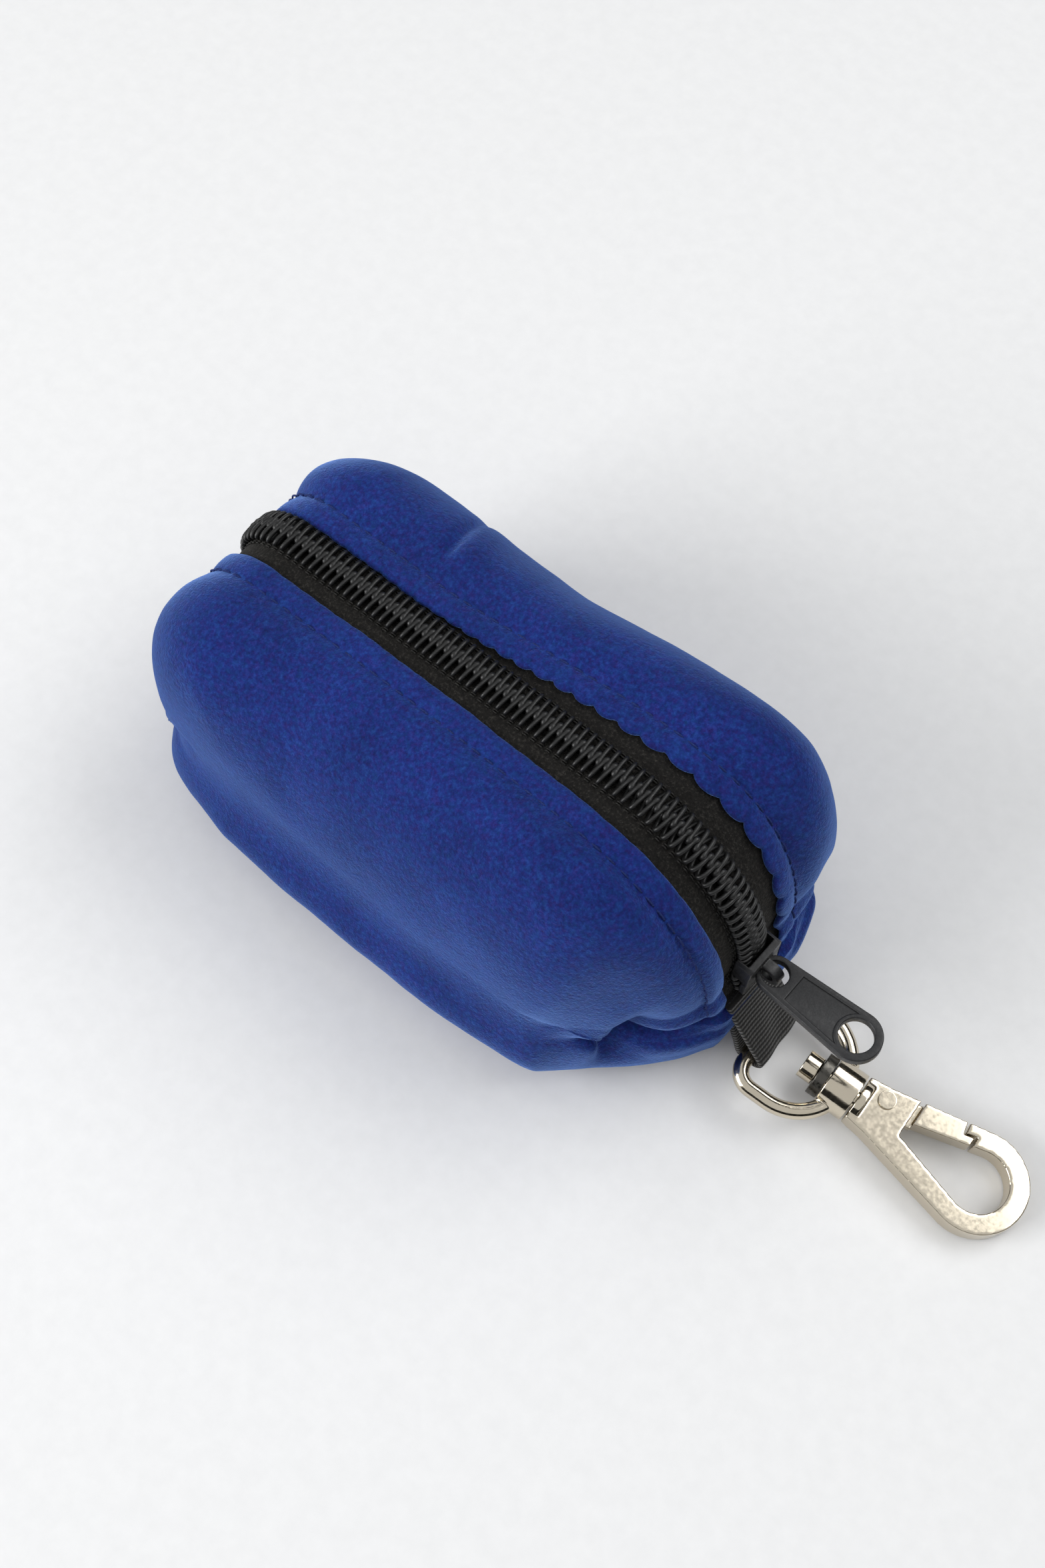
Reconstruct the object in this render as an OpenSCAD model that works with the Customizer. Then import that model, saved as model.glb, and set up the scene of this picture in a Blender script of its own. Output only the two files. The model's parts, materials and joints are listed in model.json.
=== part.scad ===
// Small padded zip pouch with a curved coil zip, a webbing tab and a swivel snap hook.
// Frame: origin on the floor under the pouch, +X along the zip to the slider end,
// +Y across the pouch, +Z up. Millimetres.

/* [Pouch] */
// Length of the pouch along the zip
body_l = 109; // [90:1:130]
// Distance from the origin to the wall of the slider end
near_end = 53; // [45:0.5:60]
// Width across the pouch
body_w = 62; // [50:1:74]
// Height of the padded shoulders
body_h = 53; // [44:1:60]
// Edge radius along the base
base_r = 10; // [5:1:14]
// Edge radius of the upper end corners
end_r = 20; // [14:1:24]
// Edge radius of the long upper shoulders
shoulder_r = 15; // [8:1:20]
// Corner radius seen from above
plan_r = 13; // [8:1:18]
// Thickness of the velvet
velvet_t = 1.2; // [0.8:0.1:1.6]
// Thickness of the wadding
wadding_t = 1.4; // [0.8:0.1:2.4]
// Thickness of the lining cloth
lining_t = 0.4; // [0.3:0.1:0.6]

/* [Zip] */
// Radius of the zip's curve over the slider end
near_r = 24.6; // [20:0.2:28]
// Height of that curve's centre
near_z = 25; // [22:0.5:28]
// Distance of that curve's centre from the middle
near_x = 24.2; // [20:0.2:28]
// Radius of the zip's curve over the far end
far_r = 12; // [10:0.5:16]
// Height of the far curve's centre
far_z = 33; // [28:0.5:36]
// Distance of the far curve's centre from the middle
far_x = 41; // [38:0.5:46]
// Height of the end seams above the floor
seam_z = 17.5; // [12:0.5:20]
// Half width of the open groove between the velvet edges
groove_y = 6.6; // [5:0.1:8]
// Half width of the zip's two tapes together
tape_y = 9.5; // [8:0.1:12]
// Tape thickness
tape_t = 0.6; // [0.4:0.1:0.8]
// Distance from one coil turn to the next
pitch = 1.5; // [1.2:0.1:2]
// Coil wire thickness
wire = 0.6; // [0.5:0.05:0.8]
// Coil height above the tape
coil_h = 2.2; // [1.6:0.1:2.6]
// Outer half width of the closed coil
coil_y = 2.9; // [2.4:0.1:3.4]

/* [Slider and puller] */
// Slider length along the zip
slider_l = 9.6; // [8:0.2:12]
// Slider half width at its rear mouth
slider_rear = 3.7; // [3.3:0.1:4.2]
// Slider half width at its shoulders
slider_front = 4.3; // [3.8:0.1:5]
// Slider plate thickness
plate_t = 1.1; // [0.9:0.1:1.4]
// Distance from the lug's hole to the puller's free end
puller_l = 20.4; // [16:0.2:26]
// Puller width at the slider
puller_w0 = 6.1; // [5:0.1:7]
// Puller width at its free end
puller_w1 = 8.1; // [6:0.1:10]
// Puller thickness
puller_t = 1.7; // [1.2:0.1:2]
// Radius of the round hole in the puller's free end
pull_hole_r = 2.45; // [1.8:0.05:2.8]
// Puller slope below level, negative when it rises
puller_slope = -3; // [-10:1:40]

/* [Tab and snap hook] */
// Webbing width
web_w = 11; // [8:0.5:14]
// Webbing thickness
web_t = 1.2; // [0.8:0.1:1.6]
// Eye wire diameter
eye_d = 2.7; // [2.2:0.1:3.2]
// Half width of the eye to its wire's centre
eye_y = 8.9; // [7:0.1:10]
// Swivel boss diameter
boss_d = 8.5; // [7:0.1:9]
// Swivel boss length
boss_l = 5; // [4:0.2:6]
// Swivel post radius
post_r = 1.6; // [1.4:0.05:1.8]
// Running gap between the post and the boss
post_gap = 0.06; // [0.02:0.01:0.1]
// Hook thickness
hook_t = 4; // [3:0.1:5]
// Outer radius of the hook's end
hook_ro = 8.3; // [7:0.1:9]
// Inner radius of the hook's end
hook_ri = 5; // [4:0.1:6]
// Distance from the swivel face to the centre of the hook's end
hook_c = 22.6; // [20:0.2:26]
// Turn of the hook seen from above
hook_yaw = 5; // [0:1:10]
// Dip of the hook towards the floor
hook_dip = 4.5; // [3:0.1:6]

/* [Hidden] */
$fn = 48;
// The plane x + z = lip_c parts the opening corner from the rest of the pouch.
lip_c = 73;
lip_gap = 0.3;
t1 = velvet_t;
t2 = velvet_t + wadding_t;
t3 = velvet_t + wadding_t + lining_t;
// Direction of the straight run that touches both end curves.
run_dx = near_x + far_x;
run_dz = near_z - far_z;
run_a = acos((far_r - near_r) / sqrt(run_dx * run_dx + run_dz * run_dz)) + atan2(run_dz, run_dx);
seam_in = 2.2;
far_end = body_l - near_end;
near_seam_x = near_end - seam_in;
far_seam_x = far_end - seam_in;
// Zip line from the slider end to the far end: x, z and its outward normal.
near_arc = [for (i = [0 : 20])
  let (a = -4 + (run_a + 4) * i / 20)
  [near_x + near_r * cos(a), near_z + near_r * sin(a), cos(a), sin(a)]];
far_arc = [for (i = [0 : 14])
  let (a = run_a + (180 - run_a) * i / 14)
  [-far_x + far_r * cos(a), far_z + far_r * sin(a), cos(a), sin(a)]];
path = concat(
  [[near_seam_x, seam_z, 1, 0]],
  near_arc,
  far_arc,
  [[-far_seam_x, seam_z, -1, 0]]
);
// Lengths for placing the coil: far upright, far curve, straight run, near curve.
run_len = sqrt(run_dx * run_dx + run_dz * run_dz - (near_r - far_r) * (near_r - far_r));
near_len = near_r * (run_a - 8) * PI / 180;
far_len = far_r * (180 - run_a) * PI / 180;
far_up = far_z - seam_z - 1;
// The first turns are behind the slider's rear mouth.
coil_a0 = 8;
turns_near = floor(near_len / pitch);
turns_run = floor(run_len / pitch);
turns_far = floor(far_len / pitch);
turns_up = floor(far_up / pitch);
near_step = (run_a - coil_a0) / turns_near;
// Angle on the near curve where the lip plane crosses it, and the last turn that lies on the lips.
lip_a = 135 - asin((lip_c - near_x - near_z) / ((near_r + tape_t / 2) * sqrt(2)));
lip_last = floor((lip_a - coil_a0) / near_step) - 1;
// How far the far upright leans outward for each millimetre of its height.
far_lean = (far_seam_x - far_x - far_r) / (far_z - seam_z);
coil_gap = 0.02;
// Sideways start of a turn past the middle line, and the topstitching's place and width.
coil_cross = 0.7;
stitch_y = 10.4;
stitch_w = 0.4;
stitch_t = 0.35;
snap_x = near_end + 21.2;
snap_y = -0.7;
snap_z = 4.45;
eye_back = 17.35;
bar_x = snap_x - eye_back * cos(hook_dip) * cos(hook_yaw);
bar_y = snap_y - eye_back * cos(hook_dip) * sin(hook_yaw);
bar_z = snap_z + eye_back * sin(hook_dip);
tab_x = near_end - 1.2;
tab_y = -1.5;
tab_dx = bar_x - tab_x;
tab_dz = bar_z - seam_z;
tab_len = sqrt(tab_dx * tab_dx + tab_dz * tab_dz);
tab_a = atan2(-tab_dz, tab_dx);
// Inner and outer radius of the webbing's fold round the eye's bar, and its half thickness at the seam.
fold_ri = eye_d / 2 + 0.75;
fold_ro = fold_ri + web_t;
tab_half = web_t + 0.1;
// The tab turns about this line; the panels leave room for it up to tab_lift degrees.
tab_pivot_x = tab_x - 0.2;
tab_lift = 25;
tab_room = 0.2;
// Slider: underside of its lower plate, top of the coil's tunnel, and the lug.
slider_under = -0.95;
tunnel_top = tape_t / 2 + coil_h + 0.25;
tunnel_y = coil_y + 0.15;
lug_x = 5;
lug_z = 0.8;
lug_r = 2.2;
lug_w = 1.8;
pin_r = 1.05;
pin_gap = 0.1;
// Puller: the slot round the lug, the hole's place, its rim, and the recessed panels in both faces.
slot_l = 3.7;
slot_w = 2.4;
pull_hole_x = puller_l - 4.4;
rim_r = pull_hole_r + 0.85;
panel_x = 5.2;
panel_w = puller_w0 - 0.1;
panel_d = 0.35;
// Swivel: the post's head and the washer.
head_r = 2.4;
head_l = 2.6;
washer_r = 3.7;
washer_t = 1.8;
// End play between the washer and the parts beside it.
washer_gap = 0.1;
// Hook: the gate's pivot, its rivet, and the slot between the two cheeks.
gate_x = 4.3;
gate_y = 2.2;
rivet_r = 0.9;
rivet_gap = 0.06;
rivet_head_r = 1.5;
rivet_head_t = 0.45;
cheek_slot = 1.7;
tongue_t = 1.5;
gate_t = 3.6;
// Spring: its turns, their step, coil radius and wire radius.
spring_turns = 4;
spring_step = 0.44;
spring_r = 0.55;
spring_wire_r = 0.14;

// ---------- shared shapes ----------

module rounded(x0, x1, y0, y1, r0, r1) {
  translate([x0 + r0, y0 + r0]) circle(r = r0);
  translate([x1 - r0, y0 + r0]) circle(r = r0);
  translate([x0 + r1, y1 - r1]) circle(r = r1);
  translate([x1 - r1, y1 - r1]) circle(r = r1);
  polygon([
    [x0 + r0, y0], [x1 - r0, y0], [x1, y0 + r0], [x1, y1 - r1],
    [x1 - r1, y1], [x0 + r1, y1], [x0, y1 - r1], [x0, y0 + r0]
  ]);
}

// The pouch's outer form, set in by i all round.
module form(i) {
  intersection() {
    rotate([90, 0, 0])
      linear_extrude(height = 120, center = true)
        rounded(-far_end + i, near_end - i, i, body_h - i, base_r - i, end_r - i);
    rotate([90, 0, 90])
      linear_extrude(height = 200, center = true)
        rounded(-body_w / 2 + i, body_w / 2 - i, i, body_h - i, base_r - i, shoulder_r - i);
    linear_extrude(height = 200, center = true)
      rounded(-far_end + i, near_end - i, -body_w / 2 + i, body_w / 2 - i, plan_r - i, plan_r - i);
  }
}

// A band along the zip line between two offsets, from y0 to y1.
module band(lo, hi, y0, y1) {
  n = len(path) - 1;
  translate([0, y1, 0])
    rotate([90, 0, 0])
      linear_extrude(height = y1 - y0)
        polygon(concat(
          [for (i = [0 : n]) [path[i][0] + lo * path[i][2], path[i][1] + lo * path[i][3]]],
          [for (i = [n : -1 : 0]) [path[i][0] + hi * path[i][2], path[i][1] + hi * path[i][3]]]
        ));
}

// Everything beyond the lip plane, moved by g.
module beyond(g) {
  translate([lip_c / 2, 0, lip_c / 2])
    rotate([0, -45, 0])
      translate([g, -150, -150])
        cube([300, 300, 300]);
}

module tub_part() {
  difference() {
    children();
    beyond(-lip_gap / 2);
  }
}

module lip_part() {
  intersection() {
    children();
    beyond(lip_gap / 2);
  }
}

// One side of the pouch: s is -1 for left and 1 for right.
module side(s) {
  translate([-100, s > 0 ? 0.02 : -100.02, -20])
    cube([200, 100, 120]);
}

module layer(a, b, s) {
  intersection() {
    difference() {
      form(a);
      form(b);
      band(-tape_t / 2 - 0.05, tape_t / 2 + 0.05, -tape_y - 0.1, tape_y + 0.1);
      band(-4, 30, -groove_y, groove_y);
    }
    side(s);
  }
}

// The velvet's edge, turned down beside the zip onto the tape.
module turned_edge(s) {
  intersection() {
    form(0);
    band(tape_t / 2 + 0.05, 30, s > 0 ? groove_y : -groove_y - t1, s > 0 ? groove_y + t1 : -groove_y);
  }
}

module velvet(s) {
  difference() {
    union() {
      layer(0, t1, s);
      turned_edge(s);
    }
    tab_slot();
  }
}

module inner_layer(a, b, s) {
  difference() {
    layer(a, b, s);
    band(-4, 30, -groove_y - t1 - 0.02, groove_y + t1 + 0.02);
    tab_slot();
  }
}

module stitch_line(s) {
  intersection() {
    difference() {
      form(-stitch_t);
      form(0);
      translate([-100, -50, -60]) cube([200, 100, 60 + seam_z + 3]);
    }
    translate([-100, s > 0 ? stitch_y : -stitch_y - stitch_w, 0]) cube([200, stitch_w, 100]);
  }
}

module tape(s) {
  difference() {
    band(-tape_t / 2, tape_t / 2, s > 0 ? 0.1 : -tape_y, s > 0 ? tape_y : -0.1);
    // Clear of the slider's wedge and open below it.
    translate([near_x + near_r - 4, -1.5, -1]) cube([12, 3, near_z + 0.5]);
  }
}

// One turn of the coil, lying across the zip on side s, outward along +X.
module turn(s) {
  low = s > 0 ? -coil_cross : -coil_y;
  width = coil_y + coil_cross;
  translate([tape_t / 2 + coil_gap, 0, -wire / 2])
    linear_extrude(height = wire)
      difference() {
        translate([0, low])
          square([coil_h, width]);
        translate([wire, low + wire])
          square([coil_h - 2 * wire, width - 2 * wire]);
      }
}

// Turns over the near curve, by index.
module coil_near(s, from, to) {
  for (k = [from : to])
    translate([near_x, 0, near_z])
      rotate([0, -(coil_a0 + (k + (s > 0 ? 0.5 : 0)) * near_step), 0])
        translate([near_r, 0, 0])
          turn(s);
}

// The first turn's place on the far upright, in turns from the curve's end.
function far_first(s) = s > 0 ? 0.8 : 0.3;

module coil_rest(s) {
  for (k = [0 : turns_run - 1])
    translate([near_x, 0, near_z])
      rotate([0, -run_a, 0])
        translate([near_r, 0, (k + (s > 0 ? 0.5 : 0)) * pitch + 0.4])
          turn(s);
  for (k = [0 : turns_far - 1])
    translate([-far_x, 0, far_z])
      rotate([0, -(run_a + (180 - run_a) * (k + (s > 0 ? 0.5 : 0)) / turns_far), 0])
        translate([far_r, 0, 0])
          turn(s);
  for (k = [0 : turns_up - 1])
    translate([-far_x, 0, far_z])
      rotate([0, -180, 0])
        translate([far_r + far_lean * ((k + far_first(s)) * pitch + wire), 0, (k + far_first(s)) * pitch])
          turn(s);
}

// ---------- pouch ----------

module outer_panel_left() color([0.08, 0.13, 0.45]) tub_part() velvet(-1);
module outer_panel_right() color([0.08, 0.13, 0.45]) tub_part() velvet(1);
module wadding_left() color([0.85, 0.85, 0.83]) tub_part() inner_layer(t1, t2, -1);
module wadding_right() color([0.85, 0.85, 0.83]) tub_part() inner_layer(t1, t2, 1);
module lining_left() color([0.12, 0.12, 0.16]) tub_part() inner_layer(t2, t3, -1);
module lining_right() color([0.12, 0.12, 0.16]) tub_part() inner_layer(t2, t3, 1);
module tape_left() color([0.1, 0.1, 0.1]) tub_part() tape(-1);
module tape_right() color([0.1, 0.1, 0.1]) tub_part() tape(1);
module topstitch_left() color([0.07, 0.1, 0.36]) tub_part() stitch_line(-1);
module topstitch_right() color([0.07, 0.1, 0.36]) tub_part() stitch_line(1);

module coil_left() color([0.03, 0.03, 0.03]) {
  coil_near(-1, lip_last + 1, turns_near - 1);
  coil_rest(-1);
}

module coil_right() color([0.03, 0.03, 0.03]) {
  coil_near(1, lip_last + 1, turns_near - 1);
  coil_rest(1);
}

// ---------- opening lips ----------

module lip_panel_left() color([0.1, 0.16, 0.5]) lip_part() velvet(-1);
module lip_panel_right() color([0.1, 0.16, 0.5]) lip_part() velvet(1);
module lip_wadding_left() color([0.88, 0.88, 0.86]) lip_part() inner_layer(t1, t2, -1);
module lip_wadding_right() color([0.88, 0.88, 0.86]) lip_part() inner_layer(t1, t2, 1);
module lip_lining_left() color([0.15, 0.15, 0.2]) lip_part() inner_layer(t2, t3, -1);
module lip_lining_right() color([0.15, 0.15, 0.2]) lip_part() inner_layer(t2, t3, 1);
module lip_tape_left() color([0.12, 0.12, 0.12]) lip_part() tape(-1);
module lip_tape_right() color([0.12, 0.12, 0.12]) lip_part() tape(1);
module lip_coil_left() color([0.05, 0.05, 0.05]) coil_near(-1, 0, lip_last);
module lip_coil_right() color([0.05, 0.05, 0.05]) coil_near(1, 0, lip_last);
module lip_topstitch_left() color([0.08, 0.12, 0.4]) lip_part() stitch_line(-1);
module lip_topstitch_right() color([0.08, 0.12, 0.4]) lip_part() stitch_line(1);

// ---------- slider and puller ----------

// Slider's outline; the first axis runs to its front.
module slider_outline() {
  h = slider_l / 2;
  polygon([
    [-h, -slider_rear + 0.5], [-h, slider_rear - 0.5], [-h + 0.5, slider_rear],
    [h * 0.2, slider_rear + 0.2], [h * 0.72, slider_front], [h * 0.92, slider_front - 0.5],
    [h, slider_front - 1.5], [h, -slider_front + 1.5], [h * 0.92, -slider_front + 0.5],
    [h * 0.72, -slider_front], [h * 0.2, -slider_rear - 0.2], [-h + 0.5, -slider_rear]
  ]);
}

module slider_plate(x0, x1) {
  translate([x0, 0, 0])
    rotate([0, 90, 0])
      linear_extrude(height = x1 - x0)
        slider_outline();
}

module at_slider() {
  translate([near_x, 0, near_z])
    rotate([0, 2, 0])
      translate([near_r, 0, 0])
        children();
}

module slider_body() color([0.05, 0.05, 0.055]) at_slider() {
  difference() {
    union() {
      slider_plate(tunnel_top, tunnel_top + plate_t);
      slider_plate(slider_under - plate_t, slider_under);
      difference() {
        slider_plate(0.65, tunnel_top);
        coil_tunnel();
      }
      wedge();
      lug();
    }
    translate([lug_x, lug_w, lug_z])
      rotate([90, 0, 0])
        cylinder(r = pin_r + pin_gap, h = 2 * lug_w);
    // Shallow panel pressed into the top plate.
    translate([tunnel_top + plate_t - 0.2, -2.1, -4.1]) cube([1, 4.2, 1.4]);
  }
}

// The way the coil takes through the slider, wide at the front.
module coil_tunnel() {
  rotate([0, 90, 0])
    linear_extrude(height = 20)
      polygon([
        [-9, -tunnel_y], [-9, tunnel_y], [-0.5, tunnel_y],
        [2.5, 5.5], [9, 5.5], [9, -5.5], [2.5, -5.5], [-0.5, -tunnel_y]
      ]);
}

// Wedge that parts the coil and joins the two plates.
module wedge() {
  translate([-1.2, 0, 0])
    rotate([0, 90, 0])
      linear_extrude(height = tunnel_top + 1.6)
        polygon([[1.2, 0], [2.6, 1.1], [4.4, 1.1], [4.4, -1.1], [2.6, -1.1]]);
}

// Lug that carries the puller.
module lug() {
  translate([lug_x, lug_w / 2, lug_z])
    rotate([90, 0, 0])
      cylinder(r = lug_r, h = lug_w);
  translate([tunnel_top + 0.5, -lug_w / 2, lug_z - lug_r])
    cube([lug_x - tunnel_top - 0.5, lug_w, 2 * lug_r]);
}

module puller_outline() {
  h0 = puller_w0 / 2;
  h1 = puller_w1 / 2;
  polygon([
    [0, -h0 + 0.3], [0.6, -h0], [puller_l - 1.6, -h1], [puller_l, -h1 + 1.6],
    [puller_l, h1 - 1.6], [puller_l - 1.6, h1], [0.6, h0], [0, h0 - 0.3]
  ]);
}

// Recess in one face of the puller, stopping at the rim round the hole.
module puller_recess(z) {
  translate([0, 0, z])
    linear_extrude(height = 1)
      difference() {
        translate([panel_x, -panel_w / 2]) square([pull_hole_x - panel_x, panel_w]);
        translate([pull_hole_x, 0]) circle(r = rim_r);
      }
}

module puller_plate() color([0.05, 0.05, 0.055]) {
  at_slider()
    translate([lug_x, 0, lug_z])
      rotate([0, puller_slope - 2, 0])
        difference() {
          union() {
            translate([0, 0, -puller_t / 2])
              linear_extrude(height = puller_t)
                difference() {
                  puller_outline();
                  // Slot round the lug, open at the rear.
                  translate([-2, -slot_w / 2]) square([slot_l + 2, slot_w]);
                  translate([pull_hole_x, 0]) circle(r = pull_hole_r);
                }
            // Pin through the lug; its ends round off the puller's rear.
            rotate([90, 0, 0]) cylinder(r = pin_r, h = puller_w0 - 0.6, center = true);
          }
          puller_recess(puller_t / 2 - panel_d);
          puller_recess(-puller_t / 2 - 1 + panel_d);
        }
}

// ---------- webbing tab ----------

// The folded webbing seen from the side, grown by g, with its root at the origin.
module tab_outline(g) {
  translate([tab_len, 0]) circle(r = fold_ro + g);
  polygon([
    [-g, -tab_half - g], [4, -tab_half - g], [tab_len - 0.9, -fold_ro + 0.14 - g],
    [tab_len, -fold_ro - g], [tab_len, fold_ro + g],
    [tab_len - 0.9, fold_ro - 0.14 + g], [4, tab_half + g], [-g, tab_half + g]
  ]);
}

// Room in the panels for the tab, from its rest to its highest lift.
module tab_slot() {
  translate([tab_pivot_x, tab_y + web_w / 2 + tab_room, seam_z])
    rotate([90, 0, 0])
      linear_extrude(height = web_w + 2 * tab_room)
        for (lift = [0 : tab_lift / 2 : tab_lift])
          rotate(lift)
            translate([tab_x - tab_pivot_x, 0])
              rotate(-tab_a)
                tab_outline(tab_room);
}

module webbing_tab() color([0.09, 0.09, 0.09]) {
  translate([tab_x, tab_y + web_w / 2, seam_z])
    rotate([90, 0, 0])
      linear_extrude(height = web_w)
        rotate(-tab_a)
          difference() {
            tab_outline(0);
            translate([tab_len, 0]) circle(r = fold_ri);
            // The gap between the two layers.
            polygon([
              [3.6, -0.05], [tab_len - 0.6, -fold_ri + 0.1], [tab_len, -fold_ri + 0.02],
              [tab_len, fold_ri - 0.02], [tab_len - 0.6, fold_ri - 0.1], [3.6, 0.05]
            ]);
          }
}

// ---------- snap hook ----------

module at_snap() {
  translate([snap_x, snap_y, snap_z])
    rotate([0, 0, hook_yaw])
      rotate([0, hook_dip, 0])
        children();
}

module swivel_eye() color([0.82, 0.78, 0.68]) at_snap() {
  cr = 3.2;
  fx = -eye_back + cr;
  gx = -11.2;
  difference() {
    union() {
      // Straight back bar, two corners, two sides and the round front.
      translate([-eye_back, eye_y - cr, 0]) rotate([90, 0, 0]) cylinder(d = eye_d, h = 2 * (eye_y - cr));
      for (s = [-1, 1]) {
        translate([fx, s * (eye_y - cr), 0])
          rotate([0, 0, s > 0 ? 90 : 180])
            rotate_extrude(angle = 90)
              translate([cr, 0]) circle(d = eye_d);
        translate([fx, s * eye_y, 0]) rotate([0, 90, 0]) cylinder(d = eye_d, h = gx - fx);
      }
      translate([gx, 0, 0])
        rotate([0, 0, -90])
          rotate_extrude(angle = 180)
            translate([eye_y, 0]) circle(d = eye_d);
      translate([-boss_l, 0, 0]) rotate([0, 90, 0]) cylinder(d = boss_d, h = boss_l);
    }
    translate([-boss_l - 1, 0, 0]) rotate([0, 90, 0]) cylinder(r = post_r + post_gap, h = boss_l + 3);
  }
}

module swivel_post() color([0.85, 0.81, 0.71]) at_snap() {
  back = boss_l + washer_t + 2 * washer_gap;
  translate([-back, 0, 0]) rotate([0, 90, 0]) cylinder(r = post_r, h = back + 2);
  translate([-back - head_l, 0, 0]) rotate([0, 90, 0]) cylinder(r = head_r, h = head_l);
}

module swivel_washer() color([0.2, 0.19, 0.17]) at_snap() {
  translate([-boss_l - washer_gap - washer_t, 0, 0])
    rotate([0, 90, 0])
      difference() {
        cylinder(r = washer_r, h = washer_t);
        translate([0, 0, -1]) cylinder(r = post_r, h = washer_t + 2);
      }
}

module hook_outer() {
  translate([hook_c, 0]) circle(r = hook_ro);
  polygon([
    [0.3, -3.9], [0.3, 3.9], [4, 4.4], [hook_c - 1.78, hook_ro * 0.977],
    [hook_c - 1.78, -hook_ro * 0.977], [4, -4.4]
  ]);
}

module hook_inner() {
  translate([hook_c, 0]) circle(r = hook_ri);
  polygon([[8.8, -1.3], [8.8, 1.3], [hook_c - 1.3, hook_ri * 0.966], [hook_c - 1.3, -hook_ri * 0.966]]);
}

module hook_loop() {
  difference() {
    hook_outer();
    hook_inner();
  }
}

module hook_frame() color([0.83, 0.79, 0.69]) at_snap() {
  difference() {
    union() {
      translate([0, 0, -hook_t / 2])
        linear_extrude(height = hook_t)
          difference() {
            hook_loop();
            // Room for the gate, with a lapped end under the nose, whose face slants to let it swing.
            polygon([[8.8, 0.2], [8.8, 12], [16, 12], [17.2, 5.45], [19.1, 5.95], [19.1, 0.2]]);
          }
      translate([0.3, 0, 0]) rotate([0, 90, 0]) cylinder(r = 3.6, h = 1.5);
    }
    // Slot for the gate's tongue and its spring.
    translate([1.9, -0.3, -cheek_slot / 2]) cube([8, 6, cheek_slot]);
    translate([5.8, -2, -cheek_slot / 2]) cube([4, 3, cheek_slot]);
    translate([gate_x, gate_y, -5]) cylinder(r = rivet_r, h = 10);
    translate([-1, 0, 0]) rotate([0, 90, 0]) cylinder(r = post_r, h = 3);
  }
}

module gate_rivet() color([0.8, 0.76, 0.66]) at_snap() {
  translate([gate_x, gate_y, -hook_t / 2]) cylinder(r = rivet_r, h = hook_t);
  translate([gate_x, gate_y, hook_t / 2]) cylinder(r = rivet_head_r, h = rivet_head_t);
}

module gate_spring() color([0.6, 0.6, 0.58]) at_snap() {
  for (k = [0 : spring_turns - 1])
    translate([7.2, -1.8 + spring_step * k, 0])
      rotate([90, 0, 0])
        rotate_extrude()
          translate([spring_r, 0]) circle(r = spring_wire_r);
}

module gate_lever() color([0.84, 0.8, 0.7]) at_snap() {
  difference() {
    union() {
      // Tongue between the two cheeks.
      translate([0, 0, -tongue_t / 2])
        linear_extrude(height = tongue_t) {
          translate([gate_x, gate_y]) circle(r = 1.9);
          polygon([[gate_x, 0.3], [9.7, 0.9], [9.7, 5.3], [gate_x, 4.1]]);
        }
      translate([0, 0, -gate_t / 2])
        linear_extrude(height = gate_t)
          intersection() {
            hook_loop();
            polygon([[9.6, 0.2], [9.6, 12], [15.5, 12], [16.9, 5.1], [18.7, 5.55], [18.7, 0.2]]);
          }
    }
    translate([gate_x, gate_y, -5]) cylinder(r = rivet_r + rivet_gap, h = 10);
  }
}

outer_panel_left();
outer_panel_right();
wadding_left();
wadding_right();
lining_left();
lining_right();
tape_left();
tape_right();
coil_left();
coil_right();
topstitch_left();
topstitch_right();
lip_panel_left();
lip_wadding_left();
lip_lining_left();
lip_tape_left();
lip_coil_left();
lip_topstitch_left();
lip_panel_right();
lip_wadding_right();
lip_lining_right();
lip_tape_right();
lip_coil_right();
lip_topstitch_right();
slider_body();
puller_plate();
webbing_tab();
swivel_eye();
hook_frame();
swivel_post();
swivel_washer();
gate_rivet();
gate_spring();
gate_lever();
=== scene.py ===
import json
import math

import bmesh
import bpy
import numpy as np
from mathutils import Matrix, Vector, noise


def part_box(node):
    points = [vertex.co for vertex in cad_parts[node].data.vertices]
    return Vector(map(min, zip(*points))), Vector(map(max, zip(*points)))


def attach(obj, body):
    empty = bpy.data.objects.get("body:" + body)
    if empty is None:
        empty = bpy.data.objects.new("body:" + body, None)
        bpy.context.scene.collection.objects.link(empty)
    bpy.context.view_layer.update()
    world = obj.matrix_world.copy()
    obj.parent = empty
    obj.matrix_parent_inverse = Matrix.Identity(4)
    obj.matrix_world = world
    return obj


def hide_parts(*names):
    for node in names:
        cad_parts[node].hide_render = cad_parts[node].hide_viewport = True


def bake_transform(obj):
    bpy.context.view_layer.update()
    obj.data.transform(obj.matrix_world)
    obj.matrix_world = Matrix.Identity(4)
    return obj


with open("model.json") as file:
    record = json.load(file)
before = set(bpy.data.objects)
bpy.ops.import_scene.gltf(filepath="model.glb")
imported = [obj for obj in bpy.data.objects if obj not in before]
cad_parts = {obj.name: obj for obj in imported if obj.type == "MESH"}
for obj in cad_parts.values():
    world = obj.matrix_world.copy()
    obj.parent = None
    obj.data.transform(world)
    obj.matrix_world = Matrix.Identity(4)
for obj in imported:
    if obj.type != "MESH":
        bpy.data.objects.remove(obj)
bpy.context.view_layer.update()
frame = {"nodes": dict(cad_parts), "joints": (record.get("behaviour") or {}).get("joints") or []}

# All lengths below are in millimetres; MM turns them into metres.
MM = 0.001


def cad_box(*nodes):
    """Lowest and highest corner of several CAD nodes together, in millimetres."""
    low = np.min([np.array(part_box(n)[0]) for n in nodes], axis=0) / MM
    high = np.max([np.array(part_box(n)[1]) for n in nodes], axis=0) / MM
    return low, high


def joint(name):
    return next(j for j in frame["joints"] if j["name"] == name)


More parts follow.
